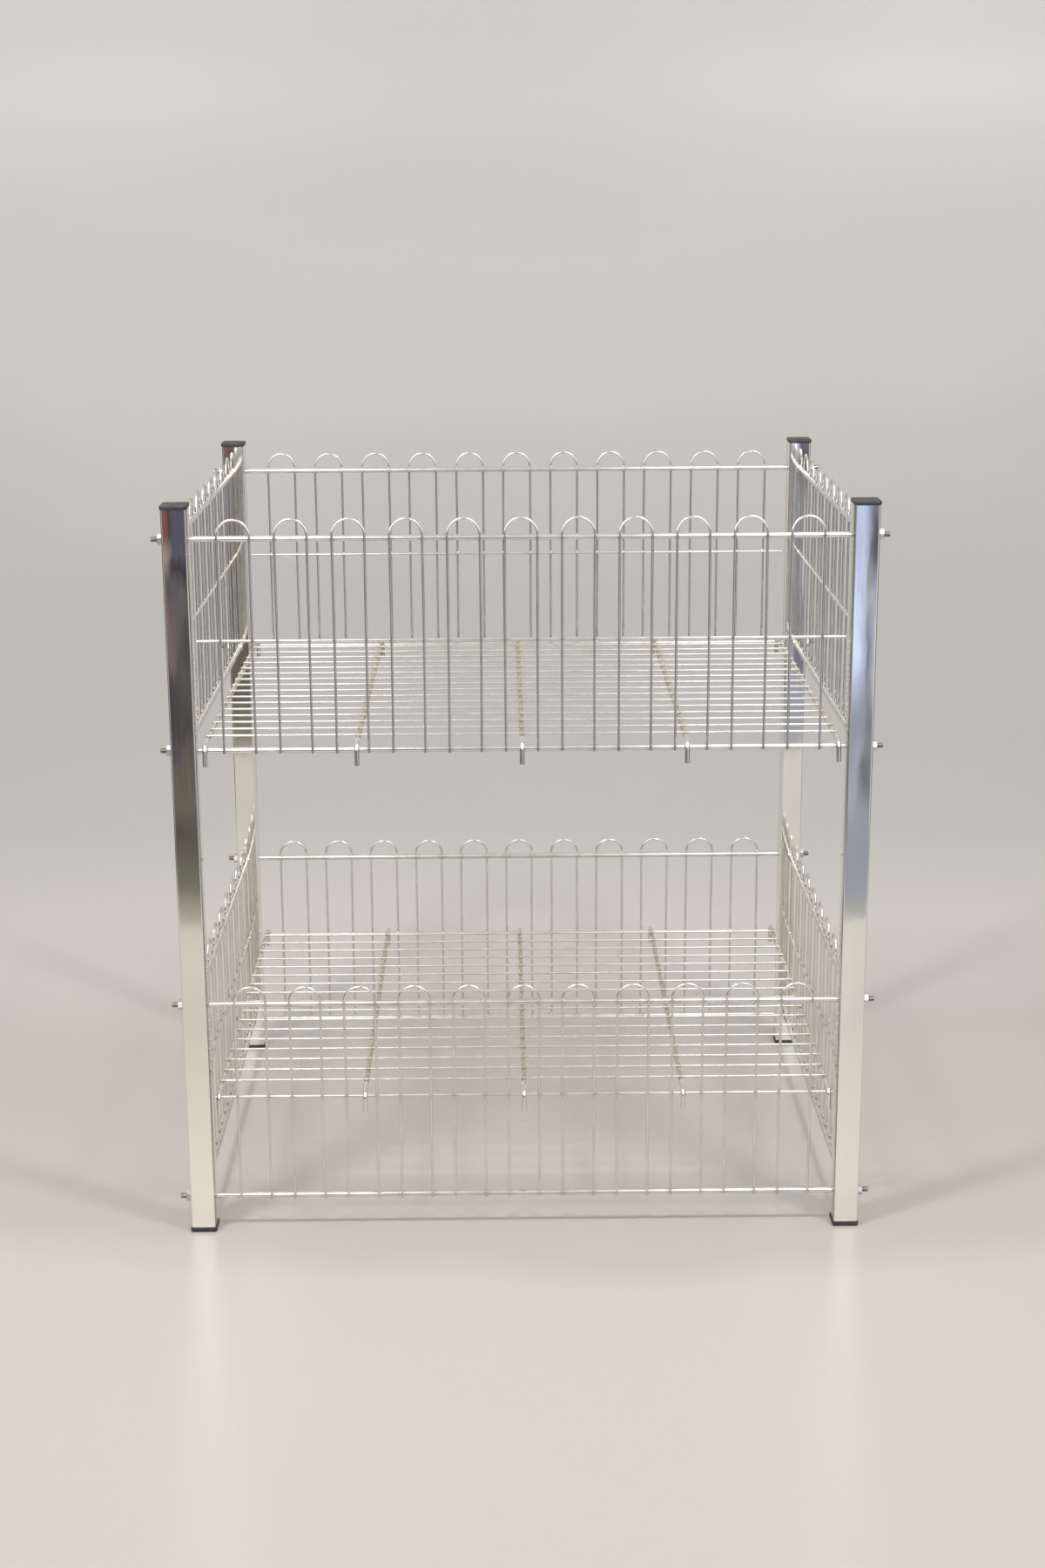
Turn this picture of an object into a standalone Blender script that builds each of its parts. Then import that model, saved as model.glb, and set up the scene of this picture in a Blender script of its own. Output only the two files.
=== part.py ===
"""Wire basket stand: four tube posts, eight wire panels topped with hoops, and two hook-on wire shelves.

Metres, +Z up, the front towards -Y, the origin on the floor under the middle of the stand.
"""

import math

import bmesh
import bpy
from mathutils import Euler, Matrix, Vector

# Whole stand
WIDTH = 0.700  # over the posts' outer faces
DEPTH = 0.555
HEIGHT = 0.765
FIT = 0.0003  # gap between pieces that touch
WELD = 0.0004  # how far two welded wires sink into each other
OVERRUN = 0.002  # how far a cutter runs past the wall that it cuts

# Posts, square tube with round corners
TUBE = 0.0254
TUBE_WALL = 0.0012
TUBE_CORNER = 0.003
CORNER_STEPS = 3

# Plastic caps and feet, a lip outside the tube and a plug inside it
LIP_OVERHANG = 0.0008
CAP_THICK = 0.004
CAP_BEVEL = 0.0015
FOOT_THICK = 0.0045
FOOT_BEVEL = 0.0008
PLUG_DEPTH = 0.012
PLUG_TAPER = 0.0005

# Wires and their facets
THICK_RADIUS = 0.003
THICK_SIDES = 6
THIN_RADIUS = 0.0015
THIN_SIDES = 4
HOOP_RADIUS = 0.00125
HOOP_SIDES = 4
ROD_RADIUS = 0.0025
ROD_SIDES = 6
CROSS_RADIUS = 0.00125
CROSS_SIDES = 4

# Panels: a thick rail below and above, a thin one between them, hoops welded on their outer side
LOWER_RAIL_Z = 0.0357
TOP_RAIL_DROP = 0.0348  # from the caps' tops down to the upper panels' top rail
PANEL_RISE = 0.2127
THIN_RISE = 0.1114
THIN_END_GAP = 0.0032  # from a front or rear thin rail's end to the post
HOOP_PITCH = 0.0563
HOOP_BEND = 0.016
HOOP_STEPS = 4
HOOP_SHOULDER = 0.0035  # straight wire between the top rail and the bend
HOOP_EDGE = 0.009  # least gap between the last hoop and a post

# Fasteners of the front and rear panels
STUD_OUT = 0.0115
NUT_FLATS = 0.010
NUT_THICK = 0.005

# Shelves: rods with a hook at each end, cross wires welded on top
HOOK_DROP = 0.021  # from a rod's centre line down to a hook's tip
HOOK_STEPS = 2
CROSS_WIRES = 17
CROSS_EDGE = 0.0248  # from the front rail to the first cross wire
CROSS_OVERHANG = 0.002  # past the outer rods
OUTER_ROD_SHARE = 0.70  # of the gap between the last hoop's leg and the post
INNER_ROD_SHARE = 0.52  # of the outer rods' distance from the middle
INNER_ROD_SHIFT = 0.0039  # from the middle of the hoop that an inner rod passes through

# Worked out from the sizes above
POST_X = (WIDTH - TUBE) / 2
POST_Y = (DEPTH - TUBE) / 2
INNER_X = POST_X - TUBE / 2
INNER_Y = POST_Y - TUBE / 2
HOOP_OUT = THICK_RADIUS + HOOP_RADIUS - WELD
THIN_OUT = HOOP_OUT - (THIN_RADIUS + HOOP_RADIUS - WELD)
UPPER_RAIL_Z = HEIGHT - TOP_RAIL_DROP - PANEL_RISE
HOOK_BEND = THICK_RADIUS + FIT + ROD_RADIUS
HOOK_Y = POST_Y + THIN_OUT
TIERS = {"lower": LOWER_RAIL_Z, "upper": UPPER_RAIL_Z}

RIGHT = Vector((1, 0, 0))
BACK = Vector((0, 1, 0))
UP = Vector((0, 0, 1))


def clear_radius(radius, sides):
    """Radius of a bore whose flats keep the fitting gap to a round piece with as many flats."""
    return radius + FIT / math.cos(math.pi / sides)


def tangent_corners(centre, radius, start, turn, steps):
    """Corners of a run of straight sides that touch an arc, as 2-D points."""
    step = turn / steps
    reach = radius / math.cos(step / 2)
    angles = [start + step / 2 + step * i for i in range(steps)]
    return [(centre[0] + reach * math.cos(a), centre[1] + reach * math.sin(a)) for a in angles]


def square_ring(half, corner, z):
    """Outline of a square with round corners."""
    quarter = math.pi / 2
    points = []
    for i, (x, y) in enumerate(((1, 1), (-1, 1), (-1, -1), (1, -1))):
        centre = (x * (half - corner), y * (half - corner))
        points += tangent_corners(centre, corner, i * quarter, quarter, CORNER_STEPS)
    return [Vector((x, y, z)) for x, y in points]


def skin(bm, rings, looped=False):
    """Faces between rings of points: closed by end faces, or back on to the first ring when looped."""
    loops = [[bm.verts.new(point) for point in ring] for ring in rings]
    following = loops[1:] + loops[:1] if looped else loops[1:]
    for low, high in zip(loops, following):
        for i, vertex in enumerate(low):
            bm.faces.new((low[i - 1], vertex, high[i], high[i - 1]))
    if not looped:
        bm.faces.new(loops[0])
        bm.faces.new(loops[-1])


def sweep(bm, points, across, radius, sides, phase=0):
    """Wire along points that lie in a plane square to across, mitred at each bend."""
    steps = [(after - before).normalized() for before, after in zip(points, points[1:])]
    angles = [phase + math.tau * i / sides for i in range(sides)]
    rings = []
    for point, arriving, leaving in zip(points, steps[:1] + steps, steps + steps[-1:]):
        normal = across.cross(arriving + leaving).normalized()
        mitre = normal / normal.dot(across.cross(arriving))
        rings.append([point + radius * (math.cos(a) * across + math.sin(a) * mitre) for a in angles])
    skin(bm, rings)


def mesh_of(name, draw, *sizes):
    """Closed mesh with its faces pointing out, drawn by a function."""
    bm = bmesh.new()
    draw(bm, *sizes)
    bmesh.ops.recalc_face_normals(bm, faces=bm.faces)
    mesh = bpy.data.meshes.new(name)
    bm.to_mesh(mesh)
    bm.free()
    return mesh


def material(name, colour, roughness, metallic):
    made = bpy.data.materials.new(name)
    made.use_nodes = True
    shader = made.node_tree.nodes["Principled BSDF"]
    shader.inputs["Base Color"].default_value = (*colour, 1)
    shader.inputs["Roughness"].default_value = roughness
    shader.inputs["Metallic"].default_value = metallic
    return made


def place(name, mesh, parent, location, turn=0):
    """Named object that shows a mesh, turned about Z."""
    made = bpy.data.objects.new(name, mesh)
    made.parent = parent
    made.location = location
    made.rotation_euler = Euler((0, 0, turn))
    bpy.context.collection.objects.link(made)
    return made


def boolean(piece, tool_mesh, operation):
    """Joins to, or cuts from, a piece the shapes of a hidden child that lies in the piece's own frame."""
    tool = place(f"{piece.name}_{operation.lower()}_tool", tool_mesh, piece, (0, 0, 0))
    tool.hide_render = True
    tool.display_type = "WIRE"
    modifier = piece.modifiers.new(operation.lower(), "BOOLEAN")
    modifier.operation = operation
    modifier.solver = "EXACT"
    modifier.object = tool


def draw_post(bm):
    outer = TUBE / 2
    inner = outer - TUBE_WALL
    bottom = FOOT_THICK + FIT
    top = HEIGHT - CAP_THICK - FIT
    bore_corner = TUBE_CORNER - TUBE_WALL
    skin(
        bm,
        [
            square_ring(outer, TUBE_CORNER, bottom),
            square_ring(outer, TUBE_CORNER, top),
            square_ring(inner, bore_corner, top),
            square_ring(inner, bore_corner, bottom),
        ],
        looped=True,
    )


def draw_stud_holes(bm):
    reach = TUBE / 2 + OVERRUN
    for bottom_rail in TIERS.values():
        for z in (bottom_rail, bottom_rail + PANEL_RISE):
            ends = [Vector((-reach, 0, z)), Vector((reach, 0, z))]
            sweep(bm, ends, BACK, clear_radius(THICK_RADIUS, THICK_SIDES), THICK_SIDES)


def draw_end_plug(bm, lip_thick, bevel):
    """Cap or foot: a bevelled lip below zero and a tapered plug above it, as it goes into a tube's foot."""
    lip = TUBE / 2 + LIP_OVERHANG
    lip_corner = TUBE_CORNER + LIP_OVERHANG
    plug = TUBE / 2 - TUBE_WALL - FIT
    plug_corner = TUBE_CORNER - TUBE_WALL - FIT
    skin(
        bm,
        [
            square_ring(lip - bevel, lip_corner - bevel, -lip_thick),
            square_ring(lip, lip_corner, bevel - lip_thick),
            square_ring(lip, lip_corner, 0),
            square_ring(plug, plug_corner, 0),
            square_ring(plug - PLUG_TAPER, plug_corner - PLUG_TAPER, PLUG_DEPTH),
        ],
    )


def hoop_count(half_opening):
    """How many hoops, an odd number, fit between two posts at the hoops' pitch."""
    room = half_opening - HOOP_BEND - HOOP_RADIUS - HOOP_EDGE
    return 2 * int(room / HOOP_PITCH) + 1


def draw_hoops(bm, half_opening):
    count = hoop_count(half_opening)
    bend_z = PANEL_RISE + HOOP_SHOULDER
    for i in range(count):
        middle = (i - (count - 1) / 2) * HOOP_PITCH
        bend = tangent_corners((middle, bend_z), HOOP_BEND, math.pi, -math.pi, HOOP_STEPS)
        foot_z = -THICK_RADIUS
        outline = [(middle - HOOP_BEND, foot_z), *bend, (middle + HOOP_BEND, foot_z)]
        sweep(bm, [Vector((x, -HOOP_OUT, z)) for x, z in outline], BACK, HOOP_RADIUS, HOOP_SIDES)


def draw_rails(bm, thick_reach, thin_reach):
    rails = (
        (0, 0, thick_reach, THICK_RADIUS, THICK_SIDES),
        (-THIN_OUT, THIN_RISE, thin_reach, THIN_RADIUS, THIN_SIDES),
        (0, PANEL_RISE, thick_reach, THICK_RADIUS, THICK_SIDES),
    )
    for y, z, reach, radius, sides in rails:
        sweep(bm, [Vector((-reach, y, z)), Vector((reach, y, z))], BACK, radius, sides)


def draw_nut(bm):
    """Hex nut on a stud along X, its bore's flats parallel to the stud's."""
    corners = NUT_FLATS / 2 / math.cos(math.pi / THICK_SIDES)
    bore = clear_radius(THICK_RADIUS, THICK_SIDES)
    rings = []
    for x, radius in ((0, corners), (NUT_THICK, corners), (NUT_THICK, bore), (0, bore)):
        angles = [math.tau * i / THICK_SIDES for i in range(THICK_SIDES)]
        rings.append([Vector((x, radius * math.cos(a), radius * math.sin(a))) for a in angles])
    skin(bm, rings, looped=True)


def rod_places():
    """Where the five rods lie: in the middle, through a hoop on each side, and outside the last hoops."""
    last_leg = (hoop_count(INNER_X) - 1) / 2 * HOOP_PITCH + HOOP_BEND
    outer = last_leg + OUTER_ROD_SHARE * (INNER_X - last_leg)
    hoops_over = round(INNER_ROD_SHARE * outer / HOOP_PITCH)
    inner = hoops_over * HOOP_PITCH - INNER_ROD_SHIFT
    return [-outer, -inner, 0, inner, outer]


def draw_rods(bm):
    quarter = math.pi / 2
    leg_y = HOOK_Y + HOOK_BEND
    front = tangent_corners((-HOOK_Y, -HOOK_BEND), HOOK_BEND, math.pi, -quarter, HOOK_STEPS)
    rear = tangent_corners((HOOK_Y, -HOOK_BEND), HOOK_BEND, quarter, -quarter, HOOK_STEPS)
    outline = [(-leg_y, -HOOK_DROP), *front, *rear, (leg_y, -HOOK_DROP)]
    for x in rod_places():
        sweep(bm, [Vector((x, y, z)) for y, z in outline], RIGHT, ROD_RADIUS, ROD_SIDES, quarter)


def draw_cross_wires(bm):
    reach = rod_places()[-1] + CROSS_OVERHANG
    height = ROD_RADIUS + CROSS_RADIUS - WELD
    first = POST_Y - CROSS_EDGE
    pitch = 2 * first / (CROSS_WIRES - 1)
    for i in range(CROSS_WIRES):
        y = i * pitch - first
        sweep(bm, [Vector((-reach, y, height)), Vector((reach, y, height))], UP, CROSS_RADIUS, CROSS_SIDES)


def build_posts(frame, chrome, plastic):
    tube = mesh_of("post", draw_post)
    tube.materials.append(chrome)
    holes = mesh_of("stud_holes", draw_stud_holes)
    cap_mesh = mesh_of("cap", draw_end_plug, CAP_THICK, CAP_BEVEL)
    cap_mesh.transform(Matrix.Rotation(math.pi, 4, "X"))
    cap_mesh.materials.append(plastic)
    foot_mesh = mesh_of("foot", draw_end_plug, FOOT_THICK, FOOT_BEVEL)
    foot_mesh.materials.append(plastic)
    for end, y in (("front", -POST_Y), ("rear", POST_Y)):
        for side, x in (("left", -POST_X), ("right", POST_X)):
            post = place(f"post_{end}_{side}", tube, frame, (x, y, 0))
            boolean(post, holes, "DIFFERENCE")
            place(f"cap_{end}_{side}", cap_mesh, frame, (x, y, HEIGHT - CAP_THICK))
            place(f"foot_{end}_{side}", foot_mesh, frame, (x, y, FOOT_THICK))


def build_panels(frame, wire):
    """Front and rear panels, whose thick rails run on through the posts, and panels between the posts."""
    stud_end = WIDTH / 2 + STUD_OUT
    side_end = INNER_Y - FIT
    long_hoops = mesh_of("long_hoops", draw_hoops, INNER_X)
    long_rails = mesh_of("long_rails", draw_rails, stud_end, INNER_X - THIN_END_GAP)
    side_hoops = mesh_of("side_hoops", draw_hoops, INNER_Y)
    side_rails = mesh_of("side_rails", draw_rails, side_end, side_end)
    for mesh in (long_hoops, long_rails, side_hoops, side_rails):
        mesh.materials.append(wire)
    quarter = math.pi / 2
    for tier, z in TIERS.items():
        for side, x, y, turn, hoops, rails in (
            ("front", 0, -POST_Y, 0, long_hoops, long_rails),
            ("rear", 0, POST_Y, math.pi, long_hoops, long_rails),
            ("left", -POST_X, 0, -quarter, side_hoops, side_rails),
            ("right", POST_X, 0, quarter, side_hoops, side_rails),
        ):
            panel = place(f"{tier}_{side}_panel", hoops, frame, (x, y, z), turn)
            boolean(panel, rails, "UNION")


def build_nuts(frame, zinc):
    nut = mesh_of("nut", draw_nut)
    nut.materials.append(zinc)
    seat = WIDTH / 2 + FIT
    for tier, bottom_rail in TIERS.items():
        for rail, z in (("bottom", bottom_rail), ("top", bottom_rail + PANEL_RISE)):
            for end, y in (("front", -POST_Y), ("rear", POST_Y)):
                for side, x, turn in (("left", -seat, math.pi), ("right", seat, 0)):
                    place(f"nut_{tier}_{rail}_{end}_{side}", nut, frame, (x, y, z), turn)


def build_shelves(frame, wire):
    """Each shelf hangs on an empty that lies on the line along which the shelf lifts off."""
    cross_wires = mesh_of("cross_wires", draw_cross_wires)
    rods = mesh_of("rods", draw_rods)
    cross_wires.materials.append(wire)
    rods.materials.append(wire)
    seats = {
        "lower": LOWER_RAIL_Z + THIN_RISE + THIN_RADIUS,
        "upper": UPPER_RAIL_Z + THICK_RADIUS,
    }
    for tier, rail_top in seats.items():
        lift = place(f"{tier}_shelf_lift", None, frame, (0, 0, rail_top + FIT + ROD_RADIUS))
        shelf = place(f"{tier}_shelf", rods, lift, (0, 0, 0))
        boolean(shelf, cross_wires, "UNION")


def main():
    for old in list(bpy.data.objects):
        bpy.data.objects.remove(old)
    chrome = material("chrome_tube", (0.80, 0.80, 0.82), 0.08, 1)
    wire = material("chrome_wire", (0.77, 0.76, 0.75), 0.16, 1)
    zinc = material("zinc_nut", (0.68, 0.67, 0.64), 0.30, 1)
    plastic = material("black_plastic", (0.02, 0.02, 0.022), 0.45, 0)
    frame = place("frame", None, None, (0, 0, 0))
    build_posts(frame, chrome, plastic)
    build_panels(frame, wire)
    build_nuts(frame, zinc)
    build_shelves(frame, wire)


main()
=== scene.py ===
"""Looks of the wire basket stand: round wires with their welds, threads and hooks, roll-formed chrome posts,
moulded caps and feet, and a pale studio. Metres, in the frame's own axes, the front towards -Y."""

import math
import random

import bmesh
import bpy
import numpy as np
from mathutils import Matrix, Vector


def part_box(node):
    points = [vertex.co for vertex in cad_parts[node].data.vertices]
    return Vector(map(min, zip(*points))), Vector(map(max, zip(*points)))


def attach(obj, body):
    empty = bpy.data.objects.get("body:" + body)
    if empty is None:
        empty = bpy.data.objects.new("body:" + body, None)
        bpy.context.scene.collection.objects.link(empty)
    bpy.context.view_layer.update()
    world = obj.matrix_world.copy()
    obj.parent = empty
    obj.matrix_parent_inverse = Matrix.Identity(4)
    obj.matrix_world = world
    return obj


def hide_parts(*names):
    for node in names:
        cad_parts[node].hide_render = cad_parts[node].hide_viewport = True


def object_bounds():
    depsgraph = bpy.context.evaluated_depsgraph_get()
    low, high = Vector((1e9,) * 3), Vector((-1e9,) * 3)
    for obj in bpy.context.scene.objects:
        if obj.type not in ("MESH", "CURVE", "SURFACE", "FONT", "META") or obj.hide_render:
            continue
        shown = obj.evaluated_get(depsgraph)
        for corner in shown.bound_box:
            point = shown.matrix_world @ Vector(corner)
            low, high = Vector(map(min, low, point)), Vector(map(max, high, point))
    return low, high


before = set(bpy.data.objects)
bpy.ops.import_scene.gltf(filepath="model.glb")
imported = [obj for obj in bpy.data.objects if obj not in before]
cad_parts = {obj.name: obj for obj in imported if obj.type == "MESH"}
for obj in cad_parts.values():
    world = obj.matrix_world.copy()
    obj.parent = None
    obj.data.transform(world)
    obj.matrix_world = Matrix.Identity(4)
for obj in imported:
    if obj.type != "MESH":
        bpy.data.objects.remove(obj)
cad_low, cad_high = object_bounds()

QUARTER = math.pi / 2
RIGHT = np.array((1.0, 0.0, 0.0))
BACK = np.array((0.0, 1.0, 0.0))
UP = np.array((0.0, 0.0, 1.0))

# Where the frame has its posts and rails
POST_LOW, POST_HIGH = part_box("post_front_right")
POST_X = (POST_LOW.x + POST_HIGH.x) / 2
POST_Y = -(POST_LOW.y + POST_HIGH.y) / 2
TUBE = POST_HIGH.x - POST_LOW.x
INNER_X = POST_X - TUBE / 2
INNER_Y = POST_Y - TUBE / 2
OUTER_X = POST_X + TUBE / 2
HEIGHT = cad_high.z
STUD_END = cad_high.x
TIERS = {tier: sum(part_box(f"nut_{tier}_bottom_front_left"), Vector()).z / 2 for tier in ("lower", "upper")}
FIT = 0.0003

# Tube, caps and feet
TUBE_WALL = 0.0012
TUBE_CORNER = 0.0018
TUBE_CROWN = 0.00010  # how far the middle of a face bulges
TUBE_RINGS = 25
DRILL_OVERHANG = 0.003
LIP_OVERHANG = 0.0008
CAP_THICK = 0.004
CAP_BEVEL = 0.0015
FOOT_THICK = 0.0045
FOOT_BEVEL = 0.0008
LIP_CROWN = 0.00015
PLUG_DEPTH = 0.012
PLUG_TAPER = 0.0005
EDGE = 0.0003  # the fine round or chamfer of cut and moulded edges

# Wires
THICK_RADIUS = 0.003
THIN_RADIUS = 0.0015
HOOP_RADIUS = 0.00125
ROD_RADIUS = 0.0025
CROSS_RADIUS = 0.00125
WELD_SINK = 0.0004
THICK_SIDES = 20
WIRE_SIDES = 12
END_CHAMFER = 0.0004
HEAT_REACH = 0.0065  # how far a weld tints the wire on each side
HEAT_FADE = ((-1, 0), (-0.5, 0.45), (0, 1), (0.5, 0.45), (1, 0))  # shares of that reach, and tints
THREAD_MARK = 2.0  # a tint that no weld reaches tells the looks where a thread is

# Panels
HOOP_PITCH = 0.0563
HOOP_BEND = 0.016
HOOP_SHOULDER = 0.0035
HOOP_BEND_STEPS = 18
LEG_STEPS = 8
HOOPS = {"front": 11, "rear": 11, "left": 9, "right": 9}
THIN_RISE = 0.1114
PANEL_RISE = 0.2127
THIN_END_GAP = 0.0032
PANEL_BEAD = (0.0019, 0.0007, 0.0017)  # half sizes along the rail, outwards and up
END_BEAD = 0.0012
END_BEAD_SHARE = 1.35
END_BEAD_SINK = 0.0002
HOOP_OUT = THICK_RADIUS + HOOP_RADIUS - WELD_SINK
THIN_OUT = HOOP_OUT - (THIN_RADIUS + HOOP_RADIUS - WELD_SINK)

# How much handwork varies, least and most
HOOP_TALL = (-0.0006, 0.0)
LEG_BOW = (-0.0005, 0.0005)
LEG_DROP = (-0.0006, 0.0003)
PANEL_BEAD_SIZE = (0.9, 1.15)
SHELF_BEAD_SIZE = (0.9, 1.2)
ROD_CUT = (-0.0004, 0.0)
CROSS_SHIFT = (-0.0003, 0.0003)
NUT_TWIST = (-0.5, 0.5)

# Fasteners
THREAD_START = 0.001  # how far inside the post's outer face a stud's plain shank ends
THREAD_LAP = 0.0005
THREAD_PITCH = 0.001
THREAD_DEPTH = 0.00055
THREAD_STEPS = 6
THREAD_TIP = 4  # rings in the chamfer of a stud's tip
NUT_FLATS = 0.010
NUT_SIDES = 48
NUT_FACE_SHARE = 0.96
NUT_CONE = 1.73  # slope of the turned corners
NUT_RINGS = (0, 0.0002, 0.0004, 0.0007, 0.0010)
NUT_MOUTH = 0.0005

# Shelves
HOOK_BEND = THICK_RADIUS + FIT + ROD_RADIUS
HOOK_Y = POST_Y + THIN_OUT
HOOK_DROP = 0.021
HOOK_STEPS = 10
CROSS_WIRES = 17
CROSS_INSET = 0.0248
CROSS_FIRST = POST_Y - CROSS_INSET
CROSS_OVERHANG = 0.002
SHELF_BEAD = (0.0016, 0.0020, 0.0007)  # half sizes along X, Y and Z
ROD_PLACES = (-0.3165, -0.165, 0.0, 0.165, 0.3165)
ROD_SIDES = 16
ROD_STAINS = (0.25, 1.0, 1.0, 1.0, 0.25)

# What the chrome mirrors: the room's tones by compass angle from the front, in degrees, and by distance
ROOM_TURN = 120
ROOM_NEAR = 1.30
ROOM_SIDE = 1.35
ROOM_FAR = 1.95
ROOM_WALL_FROM = 155  # the wall's turn about Z, counted from +X
ROOM_WALL_TURN = 230
ROOM_RADIUS = 1.965
ROOM_FLOOR_RADIUS = 1.96
ROOM_FLOOR_LIFT = 0.003
ROOM_FLOOR_STEPS = 24
ROOM_BREAK = 0.9
ROOM_TOP = 2.1
CEILING = 2.45
CEILING_RADIUS = 2.2
WINDOW_SILL = (0.66, 0.80)
THING_EDGE = (0.2, 0.03)  # how soft a thing's sides are, in degrees, and its top and bottom, in metres
ROOM_WINDOWS = (
    (-120, (0.55, 0.54, 0.52)),
    (-70, (0.95, 0.93, 0.90)),
    (-45, (1.9, 1.88, 1.82)),
    (-25, (3.3, 3.26, 3.18)),
    (-10, (3.2, 3.15, 3.07)),
    (-8, (1.9, 1.87, 1.8)),
    (-6, (1.08, 1.06, 1.03)),
    (6, (1.04, 1.03, 1.01)),
    (8, (1.6, 1.59, 1.56)),
    (10, (2.7, 2.7, 2.66)),
    (25, (2.7, 2.7, 2.7)),
    (45, (1.6, 1.6, 1.6)),
    (70, (0.85, 0.85, 0.85)),
    (120, (0.55, 0.54, 0.54)),
)
ROOM_WALL = (
    (-120, (0.10, 0.095, 0.085)),
    (-66, (0.09, 0.085, 0.078)),
    (-54, (0.42, 0.405, 0.385)),
    (-34, (0.42, 0.405, 0.385)),
    (-24, (0.20, 0.18, 0.165)),
    (-11, (0.17, 0.16, 0.15)),
    (0, (0.38, 0.355, 0.33)),
    (12, (0.45, 0.46, 0.49)),
    (24, (0.55, 0.55, 0.62)),
    (30, (0.75, 0.74, 0.78)),
    (54, (0.72, 0.71, 0.72)),
    (66, (0.09, 0.088, 0.090)),
    (120, (0.10, 0.098, 0.095)),
)
# Things along the wall: angles from and to, heights from and to, tone
ROOM_THINGS = (
    (-24.0, -12.5, 0.0, 0.12, (0.140, 0.125, 0.098)),
    (-24.0, -12.5, 0.12, 0.27, (0.080, 0.071, 0.076)),
    (-24.0, -17.1, 0.27, 0.36, (0.195, 0.140, 0.128)),
    (-17.1, -12.5, 0.27, 0.34, (0.050, 0.046, 0.058)),
    (-24.0, -12.5, 0.34, 0.40, (0.110, 0.098, 0.112)),
    (-17.1, -12.5, 0.40, 0.48, (0.036, 0.033, 0.043)),
    (-20.0, -17.4, 0.41, 0.48, (0.480, 0.400, 0.385)),
    (-20.0, -18.2, 0.46, 0.62, (0.230, 0.095, 0.100)),
    (-18.2, -17.1, 0.46, 0.62, (0.100, 0.055, 0.058)),
    (-17.1, -12.5, 0.46, 0.64, (0.098, 0.093, 0.145)),
    (13.5, 17.7, 0.0, 0.20, (0.380, 0.395, 0.490)),
    (13.5, 17.7, 0.20, 0.64, (0.570, 0.650, 0.920)),
    (14.4, 16.9, 0.27, 0.35, (0.740, 0.850, 1.080)),
    (17.7, 22.0, 0.0, 0.12, (0.150, 0.155, 0.190)),
    (17.7, 22.0, 0.12, 0.22, (0.235, 0.240, 0.305)),
    (17.7, 18.7, 0.22, 0.34, (0.150, 0.170, 0.235)),
    (18.7, 19.3, 0.22, 0.40, (0.350, 0.375, 0.500)),
    (19.3, 20.2, 0.22, 0.40, (0.680, 0.700, 0.880)),
    (17.7, 24.0, 0.40, 0.54, (0.090, 0.098, 0.120)),
    (17.9, 24.0, 0.54, 0.64, (0.160, 0.150, 0.185)),
)
ROOM_FLOOR_LEFT = (
    (0.0, (0.50, 0.48, 0.42)),
    (0.08, (0.38, 0.36, 0.31)),
    (0.16, (0.31, 0.30, 0.25)),
    (0.30, (0.18, 0.175, 0.14)),
    (0.50, (0.145, 0.135, 0.112)),
    (0.70, (0.10, 0.093, 0.080)),
    (0.86, (0.062, 0.056, 0.048)),
    (0.98, (0.085, 0.078, 0.065)),
)
ROOM_FLOOR_RIGHT = (
    (0.0, (0.54, 0.52, 0.51)),
    (0.08, (0.44, 0.43, 0.43)),
    (0.16, (0.38, 0.38, 0.42)),
    (0.30, (0.32, 0.34, 0.43)),
    (0.94, (0.34, 0.355, 0.44)),
)

# Studio
SWEEP_FLAT = 2.0
SWEEP_BEND = 1.4
SWEEP_TOP = 3.4
LAMPS = {
    "left_box": (-0.95, 21, (1.0, 0.98, 0.945)),
    "right_box": (0.95, 17, (1.0, 0.985, 0.965)),
}
LAMP_SIZE = 0.3
LAMP_Y = -1.1
LAMP_Z = 2.3
LAMP_AIM = (0, 0.5, 0.3)
CAMERA_PLACE = (-0.020109, -2.546401, 1.080673)
CAMERA_TURN = (0.329, -14.743, -0.508)  # roll, pitch and yaw in degrees
CAMERA_LENS = 53.91
CAMERA_SENSOR = 36.0


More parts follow.
